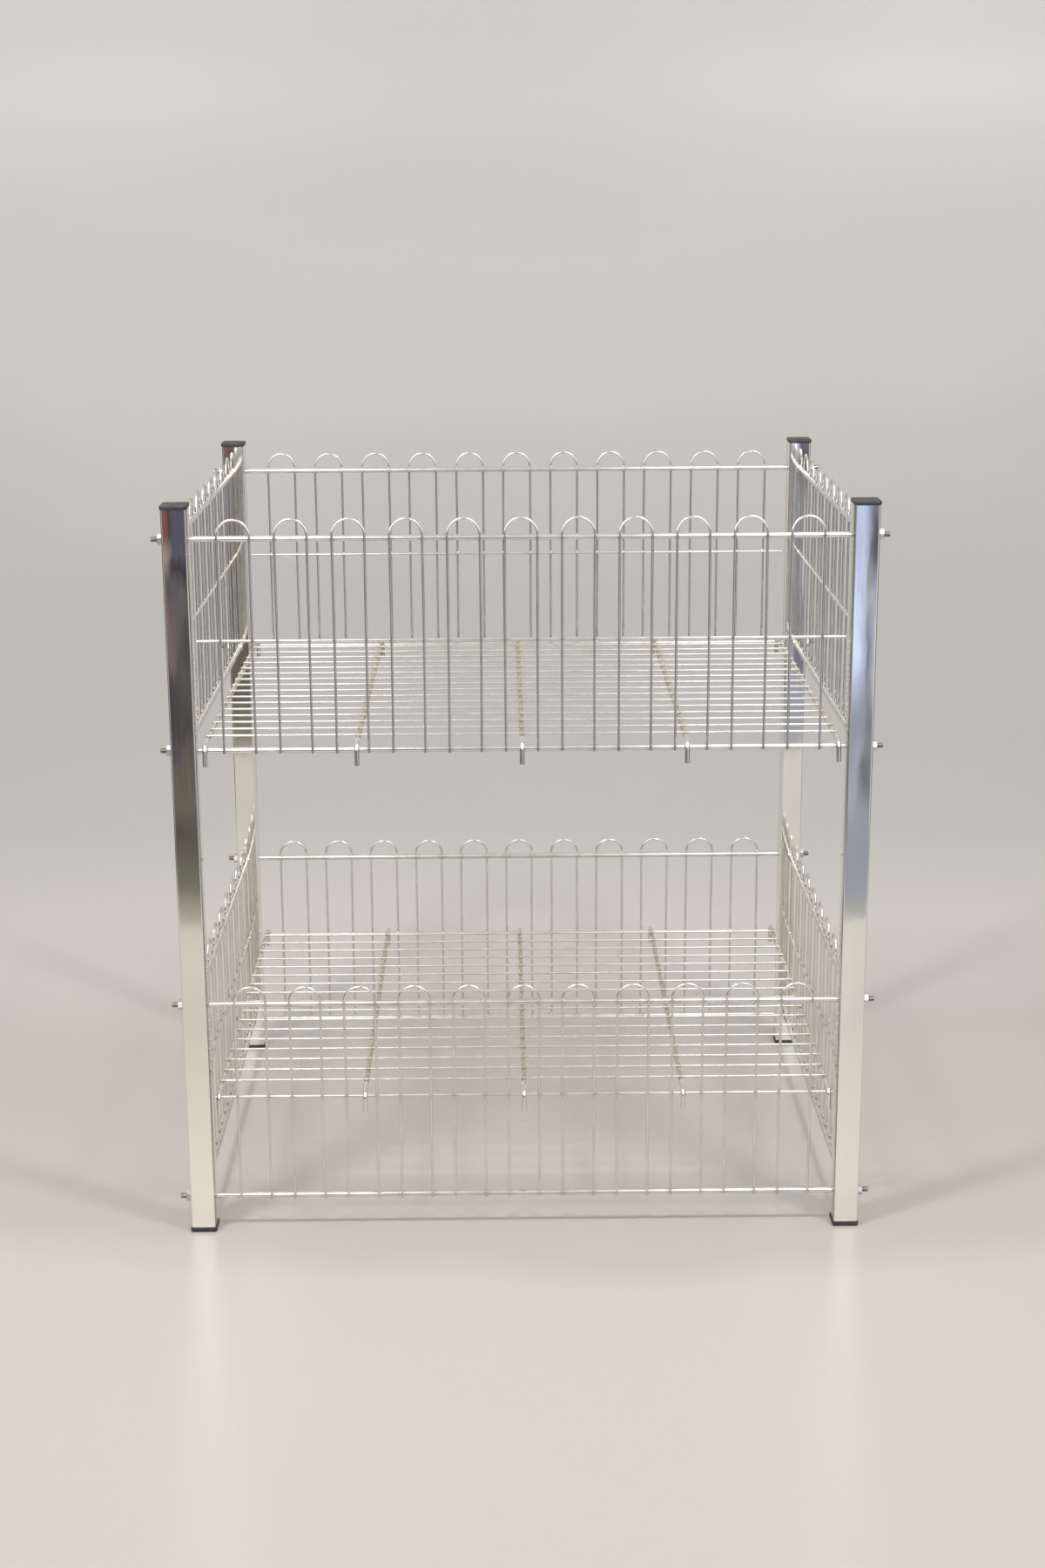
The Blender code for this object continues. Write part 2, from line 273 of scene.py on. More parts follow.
class Build:
    """Points and faces of one piece, and how strongly a weld has tinted each point."""

    def __init__(self):
        self.points = []
        self.heat = []
        self.faces = []

    def rings(self, rings, heat=0.0, looped=False):
        """Skins rings of equally many points. heat is one number, or one for each ring."""
        start = len(self.points)
        count = len(rings[0])
        heats = heat if hasattr(heat, "__len__") else [heat] * len(rings)
        for ring, tint in zip(rings, heats):
            self.points.extend(tuple(point) for point in ring)
            self.heat.extend([tint] * count)
        for r in range(len(rings) if looped else len(rings) - 1):
            low = start + r * count
            high = start + (r + 1) % len(rings) * count
            for i in range(count):
                j = (i + 1) % count
                self.faces.append((low + i, low + j, high + j, high + i))
        if not looped:
            top = start + (len(rings) - 1) * count
            self.faces.append(tuple(range(start, start + count)))
            self.faces.append(tuple(range(top, top + count)))

    def wire(self, points, radius, sides, across, welds=(), stain=0.0):
        """Round wire along points in a plane square to across, its cut ends chamfered, tinted near welds and
        stained all along between the first weld and the last."""
        points, heat = near_welds([np.asarray(p, float) for p in points], welds)
        if stain:
            tinted = [i for i, tint in enumerate(heat) if tint]
            heat[tinted[0]:tinted[-1]] = [max(tint, stain) for tint in heat[tinted[0]:tinted[-1]]]
        steps = [b - a for a, b in zip(points, points[1:])]
        steps = [s / np.linalg.norm(s) for s in steps]
        angles = np.arange(sides) * math.tau / sides
        first = points[0] + steps[0] * END_CHAMFER
        last = points[-1] - steps[-1] * END_CHAMFER
        centres = [points[0], first, *points[1:-1], last, points[-1]]
        heats = [heat[0], heat[0], *heat[1:-1], heat[-1], heat[-1]]
        radii = [radius - END_CHAMFER, *[radius] * len(points), radius - END_CHAMFER]
        before = [steps[0], steps[0], *steps[:-1], steps[-1], steps[-1]]
        after = [steps[0], steps[0], *steps[1:], steps[-1], steps[-1]]
        rings = []
        for centre, size, come, go in zip(centres, radii, before, after):
            normal = np.cross(across, come + go)
            normal /= np.linalg.norm(normal)
            mitre = normal / normal.dot(np.cross(across, come))
            rings.append([centre + size * (math.cos(a) * across + math.sin(a) * mitre) for a in angles])
        self.rings(rings, heats)

    def bead(self, centre, sizes, around=10, up=6):
        """Small rounded lump of weld metal."""
        rings = []
        for i in range(1, up):
            polar = math.pi * i / up
            ring = []
            for k in range(around):
                turn = math.tau * k / around
                offset = (math.sin(polar) * math.cos(turn), math.sin(polar) * math.sin(turn), math.cos(polar))
                ring.append(np.asarray(centre, float) + np.array(sizes) * offset)
            rings.append(ring)
        self.rings(rings, 1.0)

    def thread(self, start, end, y, z):
        """Threaded stud end along X: the radius winds between crest and root down to a chamfered tip."""
        turns = abs(end - start) / THREAD_PITCH
        steps = int(turns * THREAD_STEPS)
        rings = []
        for i in range(steps + 1):
            ring = []
            for k in range(THICK_SIDES):
                angle = math.tau * k / THICK_SIDES
                phase = (turns * i / steps + k / THICK_SIDES) % 1
                depth = THREAD_DEPTH * (1 - abs(2 * phase - 1))
                tip = THREAD_DEPTH * max(0, THREAD_TIP - (steps - i)) / (THREAD_TIP - 1)
                radius = THICK_RADIUS - max(depth, tip)
                x = start + (end - start) * i / steps
                ring.append((x, y + radius * math.cos(angle), z + radius * math.sin(angle)))
            rings.append(ring)
        self.rings(rings, THREAD_MARK)

    def mesh(self, name, turn=0.0, location=(0, 0, 0)):
        """The piece's mesh, turned about Z and then moved."""
        made = bpy.data.meshes.new(name)
        made.from_pydata(self.points, [], self.faces)
        bm = bmesh.new()
        bm.from_mesh(made)
        bmesh.ops.recalc_face_normals(bm, faces=bm.faces)
        bm.to_mesh(made)
        bm.free()
        made.attributes.new("weld_heat", "FLOAT", "POINT").data.foreach_set("value", self.heat)
        made.transform(Matrix.Translation(location) @ Matrix.Rotation(turn, 4, "Z"))
        return made


def near_welds(points, welds):
    """Adds points round each weld to the straight stretch it lies on, and says how tinted each point is."""
    spots = [np.asarray(weld, float) for weld in welds]
    found, heat = [], []
    for a, b in zip(points, points[1:]):
        length = np.linalg.norm(b - a)
        along = (b - a) / length
        marks = {0.0: 0.0}
        for spot in spots:
            reach = (spot - a).dot(along)
            if not 0 < reach < length or np.linalg.norm(spot - a - along * reach) > 2 * THICK_RADIUS:
                continue
            for share, tint in HEAT_FADE:
                place = reach + share * HEAT_REACH
                if END_CHAMFER < place < length - END_CHAMFER:
                    marks[place] = tint
        for place in sorted(marks):
            found.append(a + along * place)
            heat.append(marks[place])
    return [*found, points[-1]], [*heat, 0.0]


def arc(centre, radius, start, turn, steps):
    """Points on an arc, both ends included, as 2-D points."""
    angles = [start + turn * i / steps for i in range(steps + 1)]
    return [(centre[0] + radius * math.cos(a), centre[1] + radius * math.sin(a)) for a in angles]


def square_ring(half, corner, z, crown=0.0, steps=6):
    """Square with round corners. Columns close to each corner keep the flats' shading flat."""
    flat = half - corner
    columns = [flat * t for t in (-0.97, -0.8, -0.5, -0.2, 0.2, 0.5, 0.8, 0.97)]
    points = []
    for i in range(4):
        cos, sin = math.cos(i * QUARTER), math.sin(i * QUARTER)
        side = [(half + crown * (1 - (t / flat) ** 2), t) for t in columns]
        rounded = arc((flat, flat), corner, 0, QUARTER, steps)
        points += [(x * cos - y * sin, x * sin + y * cos, z) for x, y in (*side, *rounded)]
    return points


def turned_ring(x, radii, twist):
    """Ring square to X, its radii one after another round the axis."""
    angles = [math.tau * k / len(radii) + twist for k in range(len(radii))]
    return [(x, radius * math.cos(angle), radius * math.sin(angle)) for radius, angle in zip(radii, angles)]


def show(name, mesh, node, material, body="frame", sharp=32):
    """Puts a piece in the scene in place of its node."""
    mesh.materials.append(material)
    mesh.shade_smooth()
    mesh.set_sharp_from_angle(angle=math.radians(sharp))
    piece = bpy.data.objects.new(name, mesh)
    bpy.context.collection.objects.link(piece)
    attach(piece, body)
    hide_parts(node)


class Shader:
    """A material's nodes, with short calls for the ones that it uses."""

    def __init__(self, name):
        self.material = bpy.data.materials.new(name)
        self.material.use_nodes = True
        self.tree = self.material.node_tree
        self.main = self.tree.nodes["Principled BSDF"]

    def put(self, socket, value):
        if isinstance(value, bpy.types.NodeSocket):
            self.tree.links.new(value, socket)
        else:
            socket.default_value = value

    def node(self, kind, settings=None, **inputs):
        made = self.tree.nodes.new(kind)
        for key, value in (settings or {}).items():
            setattr(made, key, value)
        for key, value in inputs.items():
            self.put(made.inputs[key.replace("_", " ")], value)
        return made

    def noise(self, scale, detail=3.0, stretch=(1, 1, 1), roughness=0.5):
        place = self.node("ShaderNodeTexCoord").outputs["Object"]
        mapped = self.node("ShaderNodeMapping", Vector=place, Scale=stretch).outputs["Vector"]
        made = self.node("ShaderNodeTexNoise", Vector=mapped, Scale=scale, Detail=detail, Roughness=roughness)
        return made.outputs["Fac"]

    def axis(self, name):
        place = self.node("ShaderNodeTexCoord").outputs["Object"]
        return self.node("ShaderNodeSeparateXYZ", Vector=place).outputs[name]

    def ramp(self, fac, stops):
        made = self.node("ShaderNodeValToRGB", Fac=fac)
        elements = made.color_ramp.elements
        elements.remove(elements[-1])
        elements[0].position = stops[0][0]
        elements[0].color = (*stops[0][1], 1)
        for place, colour in stops[1:]:
            elements.new(place).color = (*colour, 1)
        return made.outputs["Color"]

    def spread(self, fac, low, high, to_low, to_high):
        made = self.node("ShaderNodeMapRange", Value=fac)
        for key, value in (("From Min", low), ("From Max", high), ("To Min", to_low), ("To Max", to_high)):
            made.inputs[key].default_value = value
        return made.outputs["Result"]

    def math(self, operation, a, b):
        made = self.node("ShaderNodeMath", {"operation": operation})
        self.put(made.inputs[0], a)
        self.put(made.inputs[1], b)
        return made.outputs["Value"]

    def mix(self, fac, a, b):
        made = self.node("ShaderNodeMix", {"data_type": "RGBA"})
        self.put(made.inputs["Factor"], fac)
        self.put(made.inputs[6], a)
        self.put(made.inputs[7], b)
        return made.outputs[2]

    def bump(self, height, strength, distance):
        made = self.node("ShaderNodeBump", Height=height, Strength=strength, Distance=distance)
        self.put(self.main.inputs["Normal"], made.outputs["Normal"])

    def heat(self):
        return self.node("ShaderNodeAttribute", {"attribute_name": "weld_heat"}).outputs["Fac"]


def wire_looks(name, bright, dull, tint, spots_from, rough, heating):
    """Plated wire: slow changes of brightness, tarnished spots, heat tint at its welds, dull threads."""
    s = Shader(name)
    base = s.ramp(s.noise(38.0, 4.0), [(0.32, dull), (0.64, bright)])
    spots = s.spread(s.noise(430.0, 5.0, roughness=0.7), spots_from, spots_from + 0.14, 0.0, 0.75)
    heated = s.math("MULTIPLY", s.heat(), s.spread(s.noise(260.0, 3.0), 0.3, 0.6, *heating))
    tinted = s.mix(s.math("MINIMUM", s.math("MAXIMUM", spots, heated), 1.0), base, (*tint, 1))
    tinted = s.mix(s.spread(s.heat(), 1.4, 1.8, 0.0, 0.6), tinted, (0.40, 0.39, 0.37, 1))
    s.put(s.main.inputs["Base Color"], tinted)
    grain = s.spread(s.noise(170.0, 3.0), 0.3, 0.7, *rough)
    s.put(s.main.inputs["Roughness"], s.math("ADD", grain, s.math("MULTIPLY", heated, 0.12)))
    s.main.inputs["Metallic"].default_value = 1.0
    s.bump(s.noise(950.0, 2.0), 0.25, 0.0002)
    return s.material


def tube_looks():
    """Polished chrome plate on roll-formed tube: smears, fine pits, slight waves, and a dark brownish
    reflection painted along the inner corners.
    """
    s = Shader("chrome_tube_looks")
    base = s.ramp(s.noise(9.0, 5.0, (1, 1, 0.25)), [(0.3, (0.86, 0.85, 0.805)), (0.7, (0.95, 0.94, 0.885))])
    pits = s.spread(s.noise(900.0, 2.0, roughness=0.6), 0.70, 0.78, 0.0, 0.7)
    # Painted reflection: the inner corners are darkened to brown. This stands in for the dark line that the
    # rounded corner mirrors.
    across = s.math("SUBTRACT", s.math("ABSOLUTE", s.axis("X"), 0.0), POST_X)
    along = s.math("SUBTRACT", s.math("ABSOLUTE", s.axis("Y"), 0.0), POST_Y)
    inside = s.spread(across, 0.5 * TUBE_CORNER - TUBE / 2, 0.2 * TUBE_CORNER - TUBE / 2, 0.0, 1.0)
    corner = s.math("MULTIPLY", inside, s.spread(along, TUBE / 2 - 0.011, TUBE / 2 - 0.007, 0.0, 1.0))
    painted_corner_reflection = s.math("MULTIPLY", corner, s.spread(s.noise(45.0, 4.0, (1, 1, 0.4)), 0.3, 0.6, 0.6, 0.95))
    plate = s.mix(pits, base, (0.30, 0.25, 0.20, 1))
    s.put(s.main.inputs["Base Color"], s.mix(painted_corner_reflection, plate, (0.24, 0.20, 0.15, 1)))
    s.put(s.main.inputs["Roughness"], s.spread(s.noise(30.0, 4.0, (1, 1, 0.4)), 0.3, 0.75, 0.03, 0.11))
    s.main.inputs["Metallic"].default_value = 1.0
    s.bump(s.noise(26.0, 2.5, (1, 1, 0.35)), 0.38, 0.0005)
    return s.material


def zinc_looks():
    """Dull grey zinc plate, mottled and fine-grained."""
    s = Shader("zinc_nut_looks")
    base = s.ramp(s.noise(500.0, 4.0), [(0.3, (0.46, 0.455, 0.44)), (0.7, (0.72, 0.715, 0.70))])
    s.put(s.main.inputs["Base Color"], base)
    s.put(s.main.inputs["Roughness"], s.spread(s.noise(900.0), 0.3, 0.7, 0.30, 0.46))
    s.main.inputs["Metallic"].default_value = 1.0
    s.bump(s.noise(1500.0), 0.3, 0.0001)
    return s.material


def plastic_looks():
    """Moulded black plastic with a fine grain, dusty and rubbed grey here and there."""
    s = Shader("black_plastic_looks")
    clean, dusty = (0.018, 0.018, 0.020), (0.062, 0.060, 0.058)
    dust = s.ramp(s.noise(150.0, 6.0, roughness=0.65), [(0.35, clean), (0.75, dusty)])
    s.put(s.main.inputs["Base Color"], dust)
    s.put(s.main.inputs["Roughness"], s.spread(s.noise(420.0), 0.3, 0.7, 0.38, 0.60))
    s.bump(s.noise(2600.0, 2.0), 0.35, 0.0003)
    return s.material


def draw_end_plug(thick, bevel):
    """Cap or foot: a softly bevelled lip below zero and a tapered plug above it."""
    half = TUBE / 2 + LIP_OVERHANG
    corner = TUBE_CORNER + LIP_OVERHANG
    plug = TUBE / 2 - TUBE_WALL - FIT
    plug_corner = TUBE_CORNER - TUBE_WALL - FIT
    rings = [square_ring(half * share, corner * share, -thick + LIP_CROWN * share) for share in (0.3, 0.75)]
    outer = arc((bevel, bevel - thick), bevel, -QUARTER, -QUARTER, 5)
    inner = arc((EDGE, -EDGE), EDGE, math.pi, -QUARTER, 3)
    rings += [square_ring(half - inset, corner - inset, z) for inset, z in (*outer, *inner)]
    rings.append(square_ring(plug, plug_corner, 0))
    rings.append(square_ring(plug - PLUG_TAPER, plug_corner - PLUG_TAPER, PLUG_DEPTH))
    build = Build()
    build.rings(rings)
    return build


def make_posts(tube, plastic):
    """Open tubes with softly crowned faces, each with its foot and cap."""
    inner = TUBE / 2 - TUBE_WALL
    bore_corner = TUBE_CORNER - TUBE_WALL
    bottom = FOOT_THICK + FIT
    top = HEIGHT - CAP_THICK - FIT
    for end in ("front", "rear"):
        for side in ("left", "right"):
            node = f"post_{end}_{side}"
            low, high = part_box(node)
            place = Vector(((low.x + high.x) / 2, (low.y + high.y) / 2, 0))
            build = Build()
            rings = [square_ring(TUBE / 2 - EDGE, TUBE_CORNER - EDGE, bottom)]
            for z in np.linspace(bottom + EDGE, top - EDGE, TUBE_RINGS):
                rings.append(square_ring(TUBE / 2, TUBE_CORNER, z, TUBE_CROWN))
            rings.append(square_ring(TUBE / 2 - EDGE, TUBE_CORNER - EDGE, top))
            rings.append(square_ring(inner, bore_corner, top))
            rings.append(square_ring(inner, bore_corner, bottom))
            build.rings(rings, looped=True)
            mesh = drilled(build.mesh(node, location=place), place)
            show(f"chromed_{node}", mesh, node, tube)
            foot = draw_end_plug(FOOT_THICK, FOOT_BEVEL).mesh("foot", location=(place.x, place.y, FOOT_THICK))
            show(f"moulded_foot_{end}_{side}", foot, f"foot_{end}_{side}", plastic)
            cap = draw_end_plug(CAP_THICK, CAP_BEVEL).mesh("cap")
            cap_place = Matrix.Translation((place.x, place.y, HEIGHT - CAP_THICK))
            cap.transform(cap_place @ Matrix.Rotation(math.pi, 4, "X"))
            show(f"moulded_cap_{end}_{side}", cap, f"cap_{end}_{side}", plastic)


def drilled(mesh, place):
    """The post's mesh with its stud holes cut through both side walls."""
    drill = Build()
    reach = TUBE / 2 + DRILL_OVERHANG
    for z in TIERS.values():
        for rail in (z, z + PANEL_RISE):
            ends = [(place.x - reach, place.y, rail), (place.x + reach, place.y, rail)]
            drill.wire(ends, THICK_RADIUS + FIT, THICK_SIDES + 4, BACK)
    post = bpy.data.objects.new("post_blank", mesh)
    tool = bpy.data.objects.new("post_drill", drill.mesh("post_drill"))
    for made in (post, tool):
        bpy.context.collection.objects.link(made)
    cut = post.modifiers.new("holes", "BOOLEAN")
    cut.operation = "DIFFERENCE"
    cut.solver = "EXACT"
    cut.object = tool
    graph = bpy.context.evaluated_depsgraph_get()
    result = bpy.data.meshes.new_from_object(post.evaluated_get(graph))
    for made in (post, tool):
        bpy.data.objects.remove(made)
    return result


def draw_nut(thick, twist):
    """Hex nut along X whose corners are turned down to a chamfer at both faces."""
    bore = THICK_RADIUS - THREAD_DEPTH / 2
    rings = []
    for x in (*NUT_RINGS, *[thick - depth for depth in reversed(NUT_RINGS)]):
        cone = NUT_FLATS / 2 * NUT_FACE_SHARE + min(x, thick - x) * NUT_CONE
        radii = []
        for k in range(NUT_SIDES):
            off = (math.tau * k / NUT_SIDES + math.pi / 6) % (math.pi / 3) - math.pi / 6
            radii.append(min(cone, NUT_FLATS / 2 / math.cos(off)))
        rings.append(turned_ring(x, radii, twist))
    mouth = bore + NUT_MOUTH
    for x, radius in ((thick, mouth), (thick - NUT_MOUTH, bore), (NUT_MOUTH, bore), (0, mouth)):
        rings.append(turned_ring(x, [radius] * NUT_SIDES, twist))
    build = Build()
    build.rings(rings, looped=True)
    return build


def make_nuts(zinc):
    for tier in TIERS:
        for rail in ("bottom", "top"):
            for end in ("front", "rear"):
                for side in ("left", "right"):
                    node = f"nut_{tier}_{rail}_{end}_{side}"
                    low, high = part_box(node)
                    nut = draw_nut(high.x - low.x, random.Random(node).uniform(*NUT_TWIST))
                    mesh = nut.mesh(node, location=(low.x, (low.y + high.y) / 2, (low.z + high.z) / 2))
                    show(f"plated_{node}", mesh, node, zinc, sharp=25)


def make_panel(tier, side, wire):
    """Wire panel drawn along X and facing -Y, then turned to its side of the stand."""
    node = f"{tier}_{side}_panel"
    rng = random.Random(node)
    long = side in ("front", "rear")
    turn = {"front": 0, "rear": math.pi, "left": -QUARTER, "right": QUARTER}[side]
    x, y = {"front": (0, -POST_Y), "rear": (0, POST_Y), "left": (-POST_X, 0), "right": (POST_X, 0)}[side]
    count = HOOPS[side]
    bend_z = PANEL_RISE + HOOP_SHOULDER
    rail_heights = (0, THIN_RISE, PANEL_RISE)
    build = Build()
    legs = []
    for i in range(count):
        middle = (i - (count - 1) / 2) * HOOP_PITCH
        tall = rng.uniform(*HOOP_TALL)
        bend = arc((middle, bend_z + tall), HOOP_BEND, math.pi, -math.pi, HOOP_BEND_STEPS)
        left, right = [], []
        for leg, x_leg in ((left, middle - HOOP_BEND), (right, middle + HOOP_BEND)):
            bow = rng.uniform(*LEG_BOW)
            drop = rng.uniform(*LEG_DROP)
            for t in np.linspace(0, 1, LEG_STEPS, endpoint=False):
                z = -THICK_RADIUS + drop + (bend_z + tall + THICK_RADIUS - drop) * t
                leg.append((x_leg + bow * math.sin(math.pi * t), z))
            legs.append((x_leg, bow))
        outline = [*left, *bend, *reversed(right)]
        points = [(px, -HOOP_OUT, pz) for px, pz in outline]
        welds = [(middle + s * HOOP_BEND, -HOOP_OUT, z) for s in (-1, 1) for z in rail_heights]
        build.wire(points, HOOP_RADIUS, WIRE_SIDES, BACK, welds)
    thick_reach = OUTER_X - THREAD_START if long else INNER_Y - FIT
    thin_reach = INNER_X - THIN_END_GAP if long else INNER_Y - FIT
    for rail_y, z, reach, radius in (
        (0, 0, thick_reach, THICK_RADIUS),
        (-THIN_OUT, THIN_RISE, thin_reach, THIN_RADIUS),
        (0, PANEL_RISE, thick_reach, THICK_RADIUS),
    ):
        spots = [(leg, rail_y, z) for leg, _ in legs]
        sides = THICK_SIDES if radius == THICK_RADIUS else WIRE_SIDES
        build.wire([(-reach, rail_y, z), (reach, rail_y, z)], radius, sides, BACK, spots)
        for leg, bow in legs:
            share = (z + THICK_RADIUS) / (bend_z + THICK_RADIUS)
            contact = rail_y - radius + WELD_SINK / 2
            size = rng.uniform(*PANEL_BEAD_SIZE)
            at = (leg + bow * math.sin(math.pi * share), contact, z)
            build.bead(at, (PANEL_BEAD[0] * size, PANEL_BEAD[1], PANEL_BEAD[2] * size))
        if long and radius == THICK_RADIUS:
            for way in (-1, 1):
                build.thread(way * (thick_reach - THREAD_LAP), way * STUD_END, rail_y, z)
        if not long:
            for way in (-1, 1):
                sizes = (END_BEAD, radius * END_BEAD_SHARE, radius * END_BEAD_SHARE)
                build.bead((way * (reach - END_BEAD_SINK), rail_y, z), sizes, around=14, up=8)
    mesh = build.mesh(node, turn, (x, y, TIERS[tier]))
    show(f"welded_{node}", mesh, node, wire)


def make_shelf(tier, wire):
    """Five hooked rods with cross wires welded on top."""
    node = f"{tier}_shelf"
    rng = random.Random(node)
    rail_rise = {"lower": THIN_RISE + THIN_RADIUS, "upper": THICK_RADIUS}[tier]
    z = TIERS[tier] + rail_rise + FIT + ROD_RADIUS
    leg_y = HOOK_Y + HOOK_BEND
    front = arc((-HOOK_Y, -HOOK_BEND), HOOK_BEND, math.pi, -QUARTER, HOOK_STEPS)
    rear = arc((HOOK_Y, -HOOK_BEND), HOOK_BEND, QUARTER, -QUARTER, HOOK_STEPS)
    cross_z = ROD_RADIUS + CROSS_RADIUS - WELD_SINK
    cross_ys = [CROSS_FIRST * (2 * i / (CROSS_WIRES - 1) - 1) for i in range(CROSS_WIRES)]
    build = Build()
    for x, stain in zip(ROD_PLACES, ROD_STAINS):
        cut = rng.uniform(*ROD_CUT)
        outline = [(-leg_y, -HOOK_DROP - cut), *front, *rear, (leg_y, -HOOK_DROP - cut)]
        welds = [(x, y, z + ROD_RADIUS) for y in cross_ys]
        build.wire([(x, py, z + pz) for py, pz in outline], ROD_RADIUS, ROD_SIDES, RIGHT, welds, stain)
    reach = ROD_PLACES[-1] + CROSS_OVERHANG
    for y in cross_ys:
        off = rng.uniform(*CROSS_SHIFT)
        welds = [(x, y, z + cross_z) for x in ROD_PLACES]
        ends = [(-reach + off, y, z + cross_z), (reach + off, y, z + cross_z)]
        build.wire(ends, CROSS_RADIUS, WIRE_SIDES, UP, welds)
        for x in ROD_PLACES:
            size = rng.uniform(*SHELF_BEAD_SIZE)
            sizes = (SHELF_BEAD[0] * size, SHELF_BEAD[1] * size, SHELF_BEAD[2])
            build.bead((x, y, z + ROD_RADIUS - WELD_SINK / 2), sizes)
    show(f"welded_{node}", build.mesh(node), node, wire, node)


def unseen_but_reflected(thing):
    """A card that only mirror-like surfaces see."""
    thing.visible_camera = False
    thing.visible_diffuse = False
    thing.visible_shadow = False
    thing.visible_transmission = False


def stage_object(name, points, faces, material):
    """Part of the studio, which the part doesn't keep."""
    mesh = bpy.data.meshes.new(name)
    mesh.from_pydata(points, [], faces)
    mesh.materials.append(material)
    mesh.shade_smooth()
    made = bpy.data.objects.new(name, mesh)
    bpy.context.collection.objects.link(made)
    return made


def turned(profile, start=0.0, turn=math.tau, steps=96):
    """Surface of points (distance, height) turned about Z."""
    points, faces = [], []
    count = len(profile)
    closed = abs(turn - math.tau) < 1e-6
    stops = steps if closed else steps + 1
    for i in range(stops):
        angle = start + turn * i / steps
        points += [(r * math.cos(angle), r * math.sin(angle), z) for r, z in profile]
    for i in range(steps):
        a = i * count
        b = (i + 1) % stops * count
        faces += [(a + k, b + k, b + k + 1, a + k + 1) for k in range(count - 1)]
    return points, faces


def compass(shader):
    """Angle round Z from the front, positive to the right."""
    return shader.math("ARCTAN2", shader.axis("X"), shader.math("MULTIPLY", shader.axis("Y"), -1.0))


def glow(shader, colour, strength=1.0):
    """Gives a card's looks their light."""
    lit = shader.node("ShaderNodeEmission", Color=colour, Strength=strength)
    shader.put(shader.tree.nodes["Material Output"].inputs["Surface"], lit.outputs["Emission"])
    return shader.material


def room_wall_looks():
    """A dark room with things along its wall, under a row of windows."""
    s = Shader("dark_room")
    turn = compass(s)
    share = s.spread(turn, math.radians(-ROOM_TURN), math.radians(ROOM_TURN), 0.0, 1.0)
    wall, windows = (
        s.ramp(share, [((angle + ROOM_TURN) / (2 * ROOM_TURN), colour) for angle, colour in tones])
        for tones in (ROOM_WALL, ROOM_WINDOWS)
    )
    ripple = s.spread(s.noise(7.0, 4.0, (1, 1, 1.2)), 0.3, 0.7, math.radians(-0.7), math.radians(0.7))
    wavy = s.math("ADD", turn, ripple)
    uneven = s.math("ADD", s.axis("Z"), s.spread(s.noise(9.0, 3.0), 0.3, 0.7, -0.04, 0.04))
    soft, rise = math.radians(THING_EDGE[0]), THING_EDGE[1]
    for start, end, low, high, tone in ROOM_THINGS:
        start, end = math.radians(start), math.radians(end)
        after = s.spread(wavy, start - soft, start + soft, 0, 1)
        before = s.spread(wavy, end - soft, end + soft, 1, 0)
        above = s.spread(uneven, low - rise, low + rise, 0, 1)
        below = s.spread(uneven, high - rise, high + rise, 1, 0)
        across = s.math("MINIMUM", after, before)
        wall = s.mix(s.math("MULTIPLY", across, s.math("MINIMUM", above, below)), wall, (*tone, 1))
    wall = s.mix(s.spread(s.axis("Z"), *WINDOW_SILL, 0.0, 1.0), wall, windows)
    mottle = s.math(
        "MULTIPLY",
        s.spread(s.noise(4.0, 4.0, (1.4, 1.4, 1.0)), 0.3, 0.7, 0.85, 1.15),
        s.spread(s.noise(16.0, 5.0, (2.6, 2.6, 0.45), 0.6), 0.3, 0.7, 0.72, 1.28),
    )
    return glow(s, wall, mottle)


def room_floor_looks():
    """The room's floor past the paper, darker with distance."""
    s = Shader("dark_room_floor")
    ahead = s.math("MULTIPLY", s.axis("Y"), -1.0)
    away = s.math("MAXIMUM", ahead, s.math("ABSOLUTE", s.axis("X"), 0.0))
    brown = s.ramp(s.spread(away, ROOM_NEAR, ROOM_FAR, 0.0, 1.0), ROOM_FLOOR_LEFT)
    blue = s.ramp(s.spread(away, ROOM_NEAR, ROOM_FAR, 0.0, 1.0), ROOM_FLOOR_RIGHT)
    return glow(s, s.mix(s.spread(compass(s), math.radians(-8), math.radians(12), 0.0, 1.0), brown, blue))


def ceiling_looks():
    """A dim ceiling, with lamps in front on the left and on the right."""
    s = Shader("ceiling_with_lamps")
    dim = s.ramp(s.noise(2.0, 2.0), [(0.3, (0.74, 0.73, 0.71)), (0.7, (0.82, 0.81, 0.79))])
    beside = s.spread(s.math("ABSOLUTE", s.axis("X"), 0.0), 0.24, 0.42, 0.0, 1.0)
    lit = s.math("MULTIPLY", beside, s.spread(s.axis("Y"), 0.1, -0.3, 0.0, 1.0))
    return glow(s, s.mix(lit, dim, (2.7, 2.66, 2.6, 1)))


